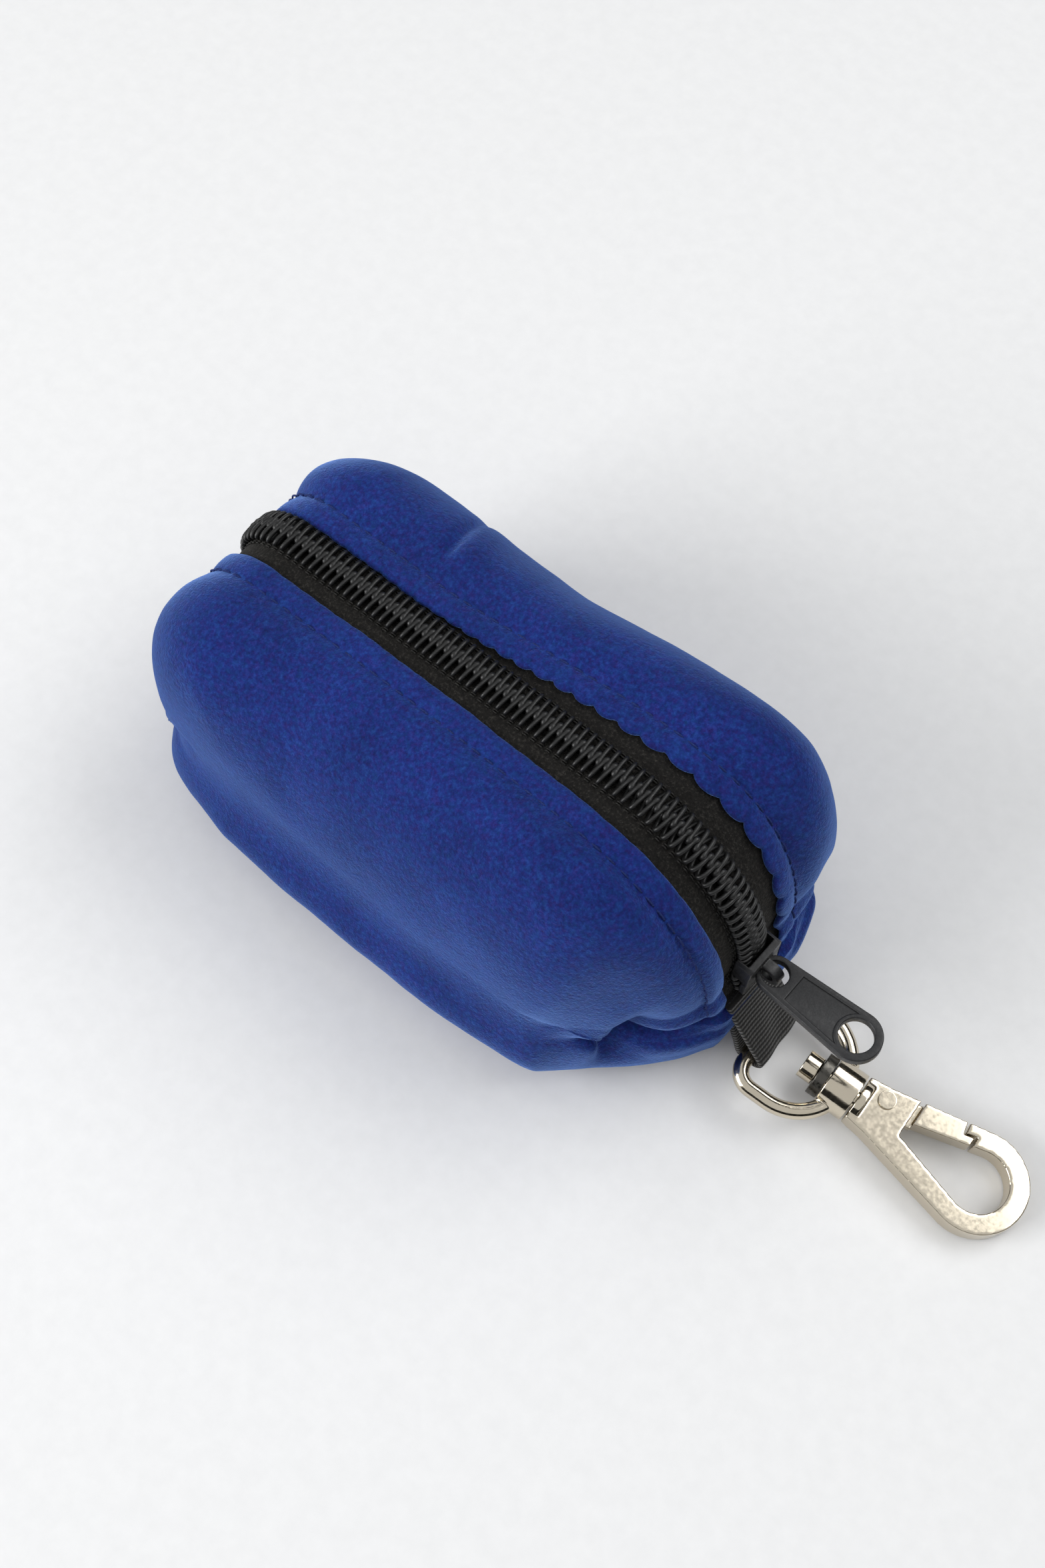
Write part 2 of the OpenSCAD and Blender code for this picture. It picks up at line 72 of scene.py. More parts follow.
def smooth(a, b, x):
    t = np.clip((np.asarray(x, float) - a) / (b - a), 0, 1)
    return t * t * (3 - 2 * t)


# ---------------------------------------------------------------- the pouch's measures

POUCH_LOW, POUCH_HIGH = cad_box("outer_panel_left", "outer_panel_right", "lip_panel_left")
NEAR_END = POUCH_HIGH[0]
FAR_END = -POUCH_LOW[0]
BASE_R = 10.0
SEAM_Z = 17.5
SEAM_IN = 2.2
NEAR_X, NEAR_Z = joint("slider_travel")["pos_m"][0] / MM, joint("slider_travel")["pos_m"][2] / MM
NEAR_R = 24.6
FAR_X, FAR_Z, FAR_R = -41.0, 33.0, 12.0
MID_Z = 22.0
PITCH = 1.5
STITCH_Y = 10.6


def zip_line():
    """The zip's line from the slider end's seam over the top to the far seam.

    Returns its points, outward normals and lengths.
    """
    dx, dz = NEAR_X - FAR_X, NEAR_Z - FAR_Z
    run = math.acos((FAR_R - NEAR_R) / math.hypot(dx, dz)) + math.atan2(dz, dx)
    a = np.linspace(math.radians(-4), run, 120)
    near = np.stack([NEAR_X + NEAR_R * np.cos(a), NEAR_Z + NEAR_R * np.sin(a)], 1)
    b = np.linspace(run, math.pi, 60)
    far = np.stack([FAR_X + FAR_R * np.cos(b), FAR_Z + FAR_R * np.sin(b)], 1)
    up = np.linspace([NEAR_END - SEAM_IN, SEAM_Z], near[0], 24)[:-1]
    along = np.linspace(near[-1], far[0], 140)[1:-1]
    down = np.linspace(far[-1], [SEAM_IN - FAR_END, SEAM_Z], 40)[1:]
    p = np.concatenate([up, near, along, far, down])
    s = np.concatenate([[0], np.cumsum(np.hypot(*np.diff(p, axis=0).T))])
    even = np.linspace(0, s[-1], 900)
    p = np.stack([np.interp(even, s, p[:, 0]), np.interp(even, s, p[:, 1])], 1)
    t = np.gradient(p, axis=0)
    for _ in range(30):
        t[1:-1] = (t[:-2] + 2 * t[1:-1] + t[2:]) / 4
    t /= np.linalg.norm(t, axis=1)[:, None]
    return p, np.stack([t[:, 1], -t[:, 0]], 1), even


LINE_P, LINE_N, LINE_S = zip_line()
LINE_LEN = LINE_S[-1]


def on_line(s):
    """Point and outward normal (x, z) of the zip's line at lengths s."""
    p = np.stack([np.interp(s, LINE_S, LINE_P[:, k]) for k in (0, 1)], -1)
    n = np.stack([np.interp(s, LINE_S, LINE_N[:, k]) for k in (0, 1)], -1)
    return p, n / np.linalg.norm(n, axis=-1, keepdims=True)


def base_outline(count):
    """The outline from the slider end's seam, round the base, to the far seam.

    Returns its points and normals (x, z) and lengths.
    """
    pieces = []
    a = np.linspace(0, -math.pi / 2, 30)
    near_c, far_c = NEAR_END - BASE_R, BASE_R - FAR_END
    pieces.append(np.linspace([NEAR_END, SEAM_Z], [NEAR_END, BASE_R], 12)[:-1])
    pieces.append(np.stack([near_c + BASE_R * np.cos(a), BASE_R + BASE_R * np.sin(a)], 1))
    pieces.append(np.linspace([near_c, 0], [far_c, 0], 120)[1:-1])
    pieces.append(np.stack([far_c - BASE_R * np.cos(a[::-1]), BASE_R + BASE_R * np.sin(a[::-1])], 1))
    pieces.append(np.linspace([-FAR_END, BASE_R], [-FAR_END, SEAM_Z], 12)[1:])
    p = np.concatenate(pieces)
    s = np.concatenate([[0], np.cumsum(np.hypot(*np.diff(p, axis=0).T))])
    even = np.linspace(0, s[-1], count)
    q = np.stack([np.interp(even, s, p[:, 0]), np.interp(even, s, p[:, 1])], 1)
    t = np.gradient(q, axis=0)
    t /= np.linalg.norm(t, axis=1)[:, None]
    return q, np.stack([-t[:, 1], t[:, 0]], 1), even


# ---------------------------------------------------------------- mesh helpers

def new_mesh(name, verts, faces, material, smooth_shade=True):
    """A mesh object from points in millimetres."""
    mesh = bpy.data.meshes.new(name)
    mesh.from_pydata([tuple(v) for v in np.asarray(verts) * MM], [], [tuple(f) for f in faces])
    mesh.materials.append(material)
    if smooth_shade:
        mesh.polygons.foreach_set("use_smooth", [True] * len(mesh.polygons))
    mesh.update()
    obj = bpy.data.objects.new(name, mesh)
    bpy.context.scene.collection.objects.link(obj)
    return obj


def grid_faces(rows, cols, start=0, close=False, flip=False):
    faces = []
    for i in range(rows - 1):
        for j in range(cols if close else cols - 1):
            k = (j + 1) % cols
            here = start + i * cols
            beyond = here + cols
            f = (here + j, here + k, beyond + k, beyond + j)
            faces.append(f[::-1] if flip else f)
    return faces


def tube(points, radius, sides=8, closed=False):
    """Points and faces of a round tube along points, with a frame that doesn't twist."""
    p = np.asarray(points, float)
    if closed:
        t = np.roll(p, -1, 0) - np.roll(p, 1, 0)
    else:
        t = np.gradient(p, axis=0)
    t /= np.linalg.norm(t, axis=1)[:, None]
    u = np.cross(t[0], [0.31, 0.87, 0.38])
    u /= np.linalg.norm(u)
    rings = []
    a = np.arange(sides) * 2 * math.pi / sides
    radii = np.broadcast_to(np.asarray(radius, float), (len(p),))
    for k in range(len(p)):
        u = u - t[k] * (u @ t[k])
        u /= np.linalg.norm(u)
        v = np.cross(t[k], u)
        rings.append(p[k] + radii[k] * (np.cos(a)[:, None] * u + np.sin(a)[:, None] * v))
    verts = np.concatenate(rings)
    faces = grid_faces(len(p), sides, close=True)
    if closed:
        last = (len(p) - 1) * sides
        faces += [(last + j, last + (j + 1) % sides, (j + 1) % sides, j) for j in range(sides)]
    else:
        faces.append(tuple(range(sides))[::-1])
        faces.append(tuple((len(p) - 1) * sides + j for j in range(sides)))
    return verts, faces


def joined(parts):
    """Several (verts, faces) pairs as one."""
    verts, faces, n = [], [], 0
    for v, f in parts:
        verts.append(v)
        faces += [tuple(i + n for i in face) for face in f]
        n += len(v)
    return np.concatenate(verts), faces


# ---------------------------------------------------------------- materials

def material(name, **sockets):
    mat = bpy.data.materials.new(name)
    mat.use_nodes = True
    shader = mat.node_tree.nodes["Principled BSDF"]
    for key, value in sockets.items():
        shader.inputs[key.replace("_", " ")].default_value = value
    return mat, mat.node_tree, shader


def add(tree, kind, **values):
    node = tree.nodes.new(kind)
    for key, value in values.items():
        if key in node.inputs:
            node.inputs[key].default_value = value
        else:
            setattr(node, key, value)
    return node


def place(tree):
    """Object coordinates, in metres."""
    return add(tree, "ShaderNodeTexCoord").outputs["Object"]


def noise_at(tree, where, scale, detail=3.0, roughness=0.6):
    node = add(tree, "ShaderNodeTexNoise", Scale=scale, Detail=detail, Roughness=roughness)
    tree.links.new(where, node.inputs["Vector"])
    return node.outputs["Fac"]


def ramp(tree, fac, stops):
    node = add(tree, "ShaderNodeValToRGB")
    elements = node.color_ramp.elements
    while len(elements) < len(stops):
        elements.new(0.5)
    for e, (pos, col) in zip(elements, stops):
        e.position = pos
        e.color = (*col, 1)
    tree.links.new(fac, node.inputs["Fac"])
    return node.outputs["Color"]


def mix_color(tree, fac, a, b, mode="MIX"):
    node = add(tree, "ShaderNodeMix", data_type="RGBA", blend_type=mode)
    for socket, value in ((node.inputs[0], fac), (node.inputs[6], a), (node.inputs[7], b)):
        if isinstance(value, bpy.types.NodeSocket):
            tree.links.new(value, socket)
        elif isinstance(value, float):
            socket.default_value = value
        else:
            socket.default_value = (*value, 1)
    return node.outputs[2]


def math_node(tree, op, a, b=0.0):
    node = add(tree, "ShaderNodeMath", operation=op)
    for socket, value in zip(node.inputs, (a, b)):
        if isinstance(value, bpy.types.NodeSocket):
            tree.links.new(value, socket)
        else:
            socket.default_value = value
    return node.outputs[0]


def bump(tree, shader, height, distance, strength=1.0):
    node = add(tree, "ShaderNodeBump", Distance=distance, Strength=strength)
    tree.links.new(height, node.inputs["Height"])
    tree.links.new(node.outputs["Normal"], shader.inputs["Normal"])


def velvet_material():
    mat, tree, shader = material(
        "velvet_pile", Roughness=0.95, Sheen_Weight=0.85, Sheen_Roughness=0.42,
        Specular_IOR_Level=0.08)
    shader.inputs["Sheen Tint"].default_value = (0.26, 0.46, 1.0, 1)
    where = place(tree)
    pile = noise_at(tree, where, 3400, 2.0, 0.75)
    tuft = noise_at(tree, where, 1500, 3.0, 0.7)
    patch = noise_at(tree, where, 75, 4.0, 0.6)
    tint = noise_at(tree, where, 950, 2.0, 0.65)
    blues = [(0.3, (0.004, 0.008, 0.062)), (0.5, (0.009, 0.021, 0.150)), (0.72, (0.020, 0.052, 0.270))]
    hues = [(0.32, (0.030, 0.010, 0.125)), (0.5, (0.009, 0.020, 0.15)), (0.68, (0.008, 0.055, 0.21))]
    base = ramp(tree, tuft, blues)
    hue = ramp(tree, tint, hues)
    base = mix_color(tree, 0.34, base, hue)
    shade = ramp(tree, patch, [(0.3, (0.82, 0.82, 0.82)), (0.7, (1.16, 1.16, 1.16))])
    base = mix_color(tree, 1.0, base, shade, "MULTIPLY")
    tree.links.new(base, shader.inputs["Base Color"])
    height = math_node(tree, "ADD", math_node(tree, "MULTIPLY", pile, 0.55), tuft)
    bump(tree, shader, height, 0.00022, 0.8)
    return mat


def tape_material():
    mat, tree, shader = material("woven_tape", Roughness=0.85, Specular_IOR_Level=0.2, Sheen_Weight=0.06)
    shader.inputs["Sheen Tint"].default_value = (0.7, 0.68, 0.62, 1)
    where = place(tree)
    fine = noise_at(tree, where, 2200, 2.0, 0.7)
    clump = noise_at(tree, where, 600, 2.0, 0.6)
    blacks = [(0.3, (0.004, 0.0038, 0.0034)), (0.55, (0.011, 0.010, 0.009)), (0.8, (0.048, 0.045, 0.040))]
    base = ramp(tree, fine, blacks)
    tree.links.new(base, shader.inputs["Base Color"])
    bump(tree, shader, math_node(tree, "ADD", fine, clump), 0.00035, 0.8)
    return mat


def coil_material():
    mat, tree, shader = material("nylon_coil", Roughness=0.3, Specular_IOR_Level=0.5)
    shader.inputs["Base Color"].default_value = (0.008, 0.008, 0.008, 1)
    where = place(tree)
    wear = noise_at(tree, where, 1500, 2.0)
    rough = ramp(tree, wear, [(0.3, (0.36, 0.36, 0.36)), (0.7, (0.54, 0.54, 0.54))])
    tree.links.new(rough, shader.inputs["Roughness"])
    bump(tree, shader, wear, 0.00005, 0.4)
    return mat


def webbing_material():
    """Ribs across the webbing, carried by its UV map: u runs along the strip in millimetres, v across it."""
    mat, tree, shader = material("ribbed_webbing", Roughness=0.72, Specular_IOR_Level=0.3, Sheen_Weight=0.2)
    uv = add(tree, "ShaderNodeUVMap")
    split = add(tree, "ShaderNodeSeparateXYZ")
    tree.links.new(uv.outputs["UV"], split.inputs[0])
    along = math_node(tree, "SINE", math_node(tree, "MULTIPLY", split.outputs[0], 2 * math.pi / 0.8))
    across = math_node(tree, "SINE", math_node(tree, "MULTIPLY", split.outputs[1], 2 * math.pi / 0.62))
    weave = math_node(tree, "MULTIPLY", along, across)
    fuzz = noise_at(tree, place(tree), 2400, 2.0, 0.7)
    ribs = math_node(tree, "ADD", math_node(tree, "MULTIPLY", weave, 0.35), along)
    height = math_node(tree, "ADD", ribs, fuzz)
    # The colour follows the weave's height: the grooves between the ribs are painted darker as shade and the
    # rib tops lighter, and the fuzz adds random tone.
    fac = math_node(tree, "MULTIPLY", math_node(tree, "ADD", height, 1.0), 0.33)
    blacks = [(0.2, (0.004, 0.004, 0.004)), (0.55, (0.014, 0.013, 0.012)), (0.95, (0.055, 0.052, 0.048))]
    base = ramp(tree, fac, blacks)
    tree.links.new(base, shader.inputs["Base Color"])
    bump(tree, shader, height, 0.00012, 0.8)
    return mat


def metal_material(name, color, rough):
    mat, tree, shader = material(name, Metallic=1.0)
    where = place(tree)
    cast = noise_at(tree, where, 260, 3.0, 0.6)
    fine = noise_at(tree, where, 1600, 3.0, 0.6)
    base = ramp(tree, cast, [(0.3, tuple(c * 0.97 for c in color)), (0.7, color)])
    tree.links.new(base, shader.inputs["Base Color"])
    level = ramp(tree, fine, [(0.35, (rough * 0.7,) * 3), (0.7, (rough * 1.5,) * 3)])
    tree.links.new(level, shader.inputs["Roughness"])
    bump(tree, shader, math_node(tree, "ADD", cast, math_node(tree, "MULTIPLY", fine, 0.15)), 0.00001, 0.2)
    return mat


def paint_material():
    mat, tree, shader = material("satin_black_paint", Specular_IOR_Level=0.45)
    where = place(tree)
    orange = noise_at(tree, where, 900, 2.0, 0.5)
    chip = noise_at(tree, where, 3200, 2.0, 0.7)
    base = ramp(tree, chip, [(0.35, (0.010, 0.010, 0.011)), (0.75, (0.022, 0.022, 0.023))])
    tree.links.new(base, shader.inputs["Base Color"])
    rough = ramp(tree, orange, [(0.35, (0.34, 0.34, 0.34)), (0.65, (0.50, 0.50, 0.50))])
    tree.links.new(rough, shader.inputs["Roughness"])
    bump(tree, shader, math_node(tree, "ADD", orange, math_node(tree, "MULTIPLY", chip, 0.4)), 0.00008, 0.5)
    return mat


def cloth_material(name, dark, light, scale=1400):
    mat, tree, shader = material(name, Roughness=0.8, Specular_IOR_Level=0.2)
    where = place(tree)
    fine = noise_at(tree, where, scale, 2.0, 0.7)
    base = ramp(tree, fine, [(0.3, dark), (0.7, light)])
    tree.links.new(base, shader.inputs["Base Color"])
    bump(tree, shader, fine, 0.0002, 0.6)
    return mat


def floor_material():
    mat, tree, shader = material("pale_floor", Roughness=0.75, Specular_IOR_Level=0.2)
    speck = noise_at(tree, place(tree), 300, 3.0)
    base = ramp(tree, speck, [(0.3, (0.80, 0.80, 0.80)), (0.7, (0.83, 0.83, 0.83))])
    tree.links.new(base, shader.inputs["Base Color"])
    return mat


VELVET = velvet_material()
TAPE = tape_material()
COIL = coil_material()
WEBBING = webbing_material()
THREAD = cloth_material("blue_thread", (0.006, 0.012, 0.07), (0.02, 0.04, 0.17), 3000)
BLACK_THREAD = cloth_material("black_thread", (0.008, 0.008, 0.008), (0.05, 0.048, 0.045), 3000)
LINING = cloth_material("lining_cloth", (0.012, 0.013, 0.022), (0.035, 0.037, 0.055))
PALE_METAL = metal_material("pale_gold_plating", (0.66, 0.59, 0.47), 0.13)
# The washer's near-black colour is painted shade: it stands in for the shadow in the gap beside the washer,
# between the post's head and the eye's boss.
WASHER_PAINTED_SHADE = metal_material("washer_painted_shade_metal", (0.10, 0.095, 0.085), 0.32)
PAINT = paint_material()


# ---------------------------------------------------------------- velvet panels

COLS = 260
CURVE_ROWS = 46
# Where the line along each side's middle ends, at the slider end and the far end.
NEAR_MID = {-1: 41.0, 1: 42.5}
FAR_MID = {-1: 46.5, 1: 44.5}
FLOOR_GAP = 0.05
LINING_DEPTH = 3.0
# The row where the velvet's turned edge is seen first, and from which the end seams are closed.
EDGE_ROW = 3
# The velvet's turned edge beside the zip, from under it over the roll to the stitched groove: (y, height).
FOLD_PROFILE = [
    (7.6, 0.35), (6.9, 0.4), (6.45, 0.6), (6.3, 0.9), (6.38, 1.2), (6.7, 1.45), (7.2, 1.58),
    (7.9, 1.66), (8.7, 1.68), (9.4, 1.62), (9.9, 1.54), (10.25, 1.44), (10.6, 1.36), (10.95, 1.44),
    (11.4, 1.62),
]
FOLD_END = FOLD_PROFILE[-1][0]
FOLD_ROWS = len(FOLD_PROFILE)

# How each side is padded: -1 is the left, 1 the right. Pairs are (place, value).
# Half width at mid height, by x.
GIRTH = {
    -1: [(-46.5, 29.4), (-38, 30.8), (-20, 31.0), (10, 30.8), (28, 29.5), (41, 26.5)],
    1: [(-44.5, 26.8), (-12, 28.5), (15, 29.1), (36, 30.2), (42.5, 29.0)],
}
# How far the shoulder stands above the zip, by length along the zip.
CREST = {
    -1: [
        (0, 0.6), (10, 2.6), (28, 4.5), (47, 2.8), (80, 1.6), (108, 2.0), (120, 2.4), (134, 2.0), (148, 0.6),
    ],
    1: [
        (0, 0.6), (10, 3.4), (28, 6.8), (47, 4.2), (80, 2.6), (108, 4.6), (120, 5.6), (134, 4.2), (148, 0.6),
    ],
}
# How square the shoulder is, by length along the zip: 2 is round.
SQUARENESS = {
    -1: [(0, 1.9), (95, 1.9), (114, 2.8), (148, 2.8)],
    1: [(0, 2.4), (30, 2.7), (48, 2.4), (75, 1.95), (148, 2.1)],
}
# How far the side sags outward low down, by x.
SAG = {
    -1: [(-52, 1.8), (-31, 5.0), (-5, 5.2), (22, 4.2), (39, 3.0), (50, 0.4)],
    1: [(-50, 0.4), (-31, 2.6), (0, 3.0), (24, 2.6), (39, 1.6), (50, 0.2)],
}
# Slant of the end walls seen from above, at the slider end and the far end.
NEAR_SLANT = {-1: 0.58, 1: 0.22}
FAR_SLANT = {-1: 0.04, 1: 0.14}
NEAR_TUCK = {-1: 5.6, 1: 3.6}
FAR_TUCK = {-1: 2.4, 1: 2.8}


def along(x, pairs):
    at, values = zip(*pairs)
    return np.interp(x, at, values)


def softened(values, times=14):
    values = np.array(values, float)
    for _ in range(times):
        values[1:-1] = (values[:-2] + 2 * values[1:-1] + values[2:]) / 4
    return values


def bell(x, middle, width):
    return np.exp(-((x - middle) / width) ** 2)


def edge_shift(s, side):
    """How far the velvet's edge stands in: the right one closes up to the coil towards the far end."""
    if side < 0:
        return 0.35 * np.sin(s / 17.0)
    return -2.9 * smooth(48, 92, s) + 1.1 * bell(s, 28, 14)


def noise_field(points, size, seed):
    """Smooth noise in about -1 to 1, with features of the given size in millimetres."""
    shift = Vector((seed * 13.7, seed * 7.3, seed * 3.1))
    return np.array([noise.noise(Vector(p) / size + shift) for p in points])


def outward(grid):
    """Unit normals of the grid, by differences."""
    top = np.gradient(grid[:, :COLS], axis=1)
    low = np.gradient(grid[:, COLS:], axis=1)
    across = np.gradient(grid, axis=0)
    out = np.cross(np.concatenate([top, -low], axis=1), across)
    out /= np.maximum(np.linalg.norm(out, axis=2, keepdims=True), 1e-9)
    sign = np.sign(np.sum(out * (grid - [0, 0, 24.0]), axis=2, keepdims=True))
    return out * np.where(sign == 0, 1, sign)


def plain_form(side):
    """The padded form before seams and creases, as a grid of points with y always outward.

    Columns run round the pouch's outline, first over the top beside the zip, then under the base. Rows
    run from the zip, or the base's middle, outward to a line along the side's middle, where both meet.
    """
    s = np.linspace(0, LINE_LEN, COLS)
    p, n = on_line(s)
    q = base_outline(COLS)[0]
    mid_x = np.linspace(NEAR_MID[side], -FAR_MID[side], COLS)
    mid = np.stack([mid_x, np.full(COLS, MID_Z)], 1)
    girth = softened(along(mid_x, GIRTH[side]))
    from_seam = np.minimum(s, LINE_LEN - s)
    flat = 0.4 + 0.6 * smooth(0, 10, from_seam)
    crest = softened(along(s, CREST[side]))
    shift = edge_shift(s, side)
    square = 2 / softened(along(s, SQUARENESS[side]))
    base_s = base_outline(COLS)[2]
    base_from = np.minimum(base_s, base_s[-1] - base_s)
    roundness = 2.0 + 2.2 * smooth(4, 22, base_from)
    grid = []
    for k, (y, h) in enumerate(FOLD_PROFILE):
        top = np.stack([p[:, 0] + n[:, 0] * h * flat, y + shift, p[:, 1] + n[:, 1] * h * flat], 1)
        low = np.stack([q[:, 0], np.full(COLS, FOLD_END * k / (FOLD_ROWS - 1)), q[:, 1]], 1)
        grid.append(np.concatenate([top, low]))
    for j in range(1, CURVE_ROWS + 1):
        a = math.pi / 2 * j / CURVE_ROWS
        u, v = math.sin(a) ** square, (1 - max(math.cos(a), 0) ** square)
        start = FOLD_END + shift
        y = start + (girth - start) * u
        h = FOLD_PROFILE[-1][1] * flat + crest * (1 - np.exp(-(y - start) / 6.5))
        xz = p + n * (h * (1 - v))[:, None] + (mid - p) * v[:, None]
        top = np.stack([xz[:, 0], y, xz[:, 1]], 1)
        u = math.sin(a) ** (2 / roundness)
        v = (1 - max(math.cos(a), 0) ** (2 / roundness))[:, None]
        xz = q * (1 - v) + mid * v
        low = np.stack([xz[:, 0], FOLD_END + (girth - FOLD_END) * u, xz[:, 1]], 1)
        grid.append(np.concatenate([top, low]))
    return np.array(grid), s


def sag_and_slant(grid, side):
    """The weight of the padding spreads the sides low down; the end walls slant back from their middles."""
    x, y, z = grid[:, :, 0], grid[:, :, 1], grid[:, :, 2]
    y += softened_surface(along(x, SAG[side])) * bell(z, 9, 7) * smooth(8, 25, y)
    x -= NEAR_SLANT[side] * np.maximum(y - 9.5, 0) * smooth(28, 53, x)
    x += FAR_SLANT[side] * np.maximum(y - 3, 0) * smooth(31, 56, -x)


def softened_surface(values):
    return (values + np.roll(values, 1, 1) + np.roll(values, -1, 1)) / 3


def end_folds(grid, side):
    """The end seams' creases and welts, and the tuck where the side's curved edge is gathered in."""
    x, y, z = grid[:, :, 0], grid[:, :, 1], grid[:, :, 2]
    centre = np.interp(z, [5, SEAM_Z, 29], [23.8, 20.6, 18.0])
    for sign, tuck in ((1, NEAR_TUCK[side]), (-1, FAR_TUCK[side])):
        here = smooth(29, 38, x) if sign > 0 else smooth(32, 41, -x)
        beside_zip = smooth(7, 11, y)
        strength = tuck / NEAR_TUCK[-1]
        pocket = bell(y, centre, 2.1) * bell(z, SEAM_Z - 0.5, 7.0)
        lip = bell(y, centre + 3.6, 2.0) * bell(z, SEAM_Z + 1, 8.0)
        gather = 0.7 + 4.0 * strength * smooth(7, 19, y) * smooth(27, 22, y)
        seam = gather * bell(z, SEAM_Z, 1.5) * beside_zip
        welt = 0.75 * bell(z, SEAM_Z - 2.2, 0.7) * smooth(25, 20, y) * beside_zip
        roll = 0.8 * (bell(z, SEAM_Z + 3.4, 1.9) + 0.6 * bell(z, SEAM_Z - 4.6, 2.0)) * smooth(24, 17, y)
        x -= sign * here * (tuck * pocket + seam + welt - 1.0 * strength * lip - roll)


def stitched_edge(grid, s, side):
    """Stitches pull the groove down, and gather the velvet's edge; the right one is notched."""
    top = grid[:, :COLS]
    y = top[:, :, 1]
    step = 2.6
    pull = 0.5 - 0.5 * np.cos(2 * math.pi * s / step)
    rows = np.arange(grid.shape[0])[:, None]
    at_groove = bell(rows, FOLD_ROWS - 3, 1.3)
    n = on_line(s)[1]
    wave = np.sin(s / 3.1) + 0.6 * np.sin(s / 1.73 + 1)
    top[:, :, 0] -= n[:, 0] * (0.12 * pull + 0.04 * wave) * at_groove
    top[:, :, 2] -= n[:, 1] * (0.12 * pull + 0.04 * wave) * at_groove
    notch_step = 4.6 + 0.5 * np.sin(s / 23)
    notch = 1 - np.abs(np.sin(math.pi * s / notch_step)) ** 0.55
    depth = 0.85 * smooth(100, 60, s) + 0.25 if side > 0 else 0.12
    y += (depth * notch + 0.06 * wave) * smooth(FOLD_ROWS - 2, 4, rows)


def cross_crease(grid, side):
    """One soft crease across the right shoulder, towards the far end."""
    if side < 0:
        return
    x, y, z = grid[:, :, 0], grid[:, :, 1], grid[:, :, 2]
    centre = -22.5 - 0.22 * (y - 12)
    depth = 0.75 * bell(x, centre, 1.1) - 0.4 * bell(x, centre + 3.2, 2.2)
    z -= depth * smooth(10, 14, y) * smooth(29, 24, y) * smooth(30, 40, z)


def soft_unevenness(grid, side):
    out = outward(grid)
    flat = grid.reshape(-1, 3)
    push = 0.55 * noise_field(flat, 27, 1 + side) + 0.26 * noise_field(flat, 11, 4 + side)
    push += 0.05 * noise_field(flat, 3.0, 9 + side)
    weight = smooth(FOLD_END - 0.5, FOLD_END + 4, flat[:, 1]) * smooth(0.3, 4, flat[:, 2])
    grid += out * (push * weight).reshape(grid.shape[:2])[:, :, None]


def panel_grid(side):
    grid, s = plain_form(side)
    sag_and_slant(grid, side)
    end_folds(grid, side)
    stitched_edge(grid, s, side)
    cross_crease(grid, side)
    soft_unevenness(grid, side)
    # Both sets of columns share the line along the side's middle.
    last = grid[-1]
    mean = (last[:COLS] + last[COLS:]) / 2
    last[:COLS], last[COLS:] = mean, mean
    grid[:, :, 2] = np.maximum(grid[:, :, 2], FLOOR_GAP)
    return grid


def lining_grid(outer):
    """The lining, set in from the velvet towards a line along the pouch's middle, so it never folds."""
    middle = np.zeros_like(outer)
    middle[:, :, 0] = np.clip(outer[:, :, 0], -28, 28)
    middle[:, :, 2] = 24.0
    inward = middle - outer
    reach = np.linalg.norm(inward, axis=2, keepdims=True)
    grid = outer + inward / reach * LINING_DEPTH
    s = np.linspace(0, LINE_LEN, COLS)
    p, n = on_line(s)
    for k in range(FOLD_ROWS):
        y = 7.0 + (outer[FOLD_ROWS, :COLS, 1] - 8.0) * k / (FOLD_ROWS - 1)
        h = -0.55 - 1.2 * smooth(0.5, 1, k / (FOLD_ROWS - 1))
        grid[k, :COLS] = np.stack([p[:, 0] + n[:, 0] * h, y, p[:, 1] + n[:, 1] * h], 1)
    grid[:, COLS:, 2] = np.maximum(grid[:, COLS:, 2], 1.6)
    return grid


def panel_object(name, side, mat, grid):
    count, cols = grid.shape[:2]
    verts = grid.reshape(-1, 3) * [1, side, 1]
    faces = []
    for i in range(count - 1):
        for j in range(COLS - 1):
            faces.append((i * cols + j, i * cols + j + 1, (i + 1) * cols + j + 1, (i + 1) * cols + j))
            k = COLS + j
            faces.append((i * cols + k + 1, i * cols + k, (i + 1) * cols + k, (i + 1) * cols + k + 1))
    # From the turned edge on, the top's first and last columns meet the base's along the end seams.
    for i in range(EDGE_ROW, count - 1):
        for a, b in ((0, COLS), (COLS - 1, cols - 1)):
            faces.append((i * cols + a, (i + 1) * cols + a, (i + 1) * cols + b, i * cols + b))
    obj = new_mesh(name, verts, faces, mat)
    mesh = bmesh.new()
    mesh.from_mesh(obj.data)
    bmesh.ops.remove_doubles(mesh, verts=mesh.verts, dist=0.02 * MM)
    bmesh.ops.recalc_face_normals(mesh, faces=mesh.faces)
    mesh.to_mesh(obj.data)
    mesh.free()
    return obj


def follow_lip(obj):
    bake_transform(obj)


def build_panels():
    for side, word in ((-1, "left"), (1, "right")):
        grid = panel_grid(side)
        velvet = panel_object(f"velvet_{word}", side, VELVET, grid)
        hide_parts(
            f"outer_panel_{word}", f"lip_panel_{word}", f"wadding_{word}", f"lip_wadding_{word}")
        follow_lip(velvet)
        lining = panel_object(f"lining_cloth_{word}", side, LINING, lining_grid(grid))
        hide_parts(f"lining_{word}", f"lip_lining_{word}")
        follow_lip(lining)


# ---------------------------------------------------------------- zip

# The slider's middle, as a length along the zip.
SLIDER_S = 6.9


def parted(s):
    """How far each coil and tape edge stands off the middle, in and in front of the slider."""
    return 1.3 * smooth(SLIDER_S + 2.5, SLIDER_S - 1.0, s)


